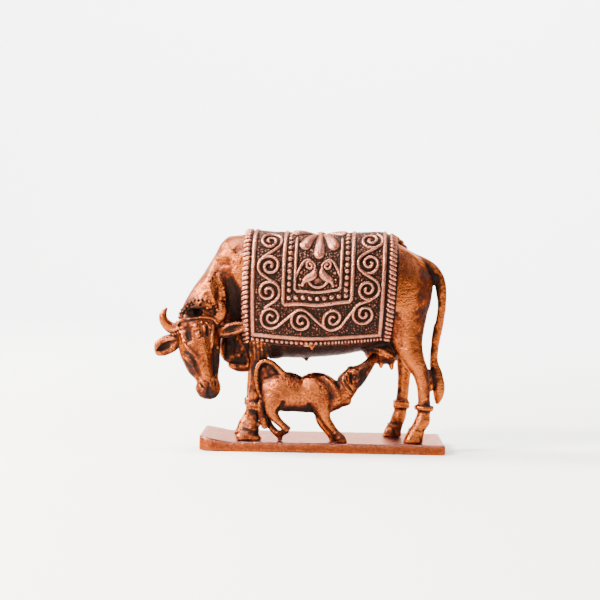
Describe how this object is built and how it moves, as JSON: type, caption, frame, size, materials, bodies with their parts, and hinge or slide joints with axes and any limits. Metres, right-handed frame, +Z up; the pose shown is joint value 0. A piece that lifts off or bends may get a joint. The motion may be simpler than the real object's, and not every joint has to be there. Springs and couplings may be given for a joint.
{
  "type": "cow and calf statue",
  "caption": "Small copper-finished cast statue of a standing cow under a carved blanket, turning to a suckling calf, on a flat base plate.",
  "frame": {"origin": "centre of the base plate's underside", "axes": "+X from the cow's head end to its tail end, +Y away from the side that the picture shows, +Z up"},
  "size_m": [0.101, 0.0367, 0.0763],
  "materials": {
    "copper_figures": "copper finish with dark patina in the recesses",
    "copper_plate": "copper finish, grainy on its edges"
  },
  "bodies": {
    "root": {"cow_and_calf": "copper_figures", "base_plate": "copper_plate"}
  },
  "joints": []
}
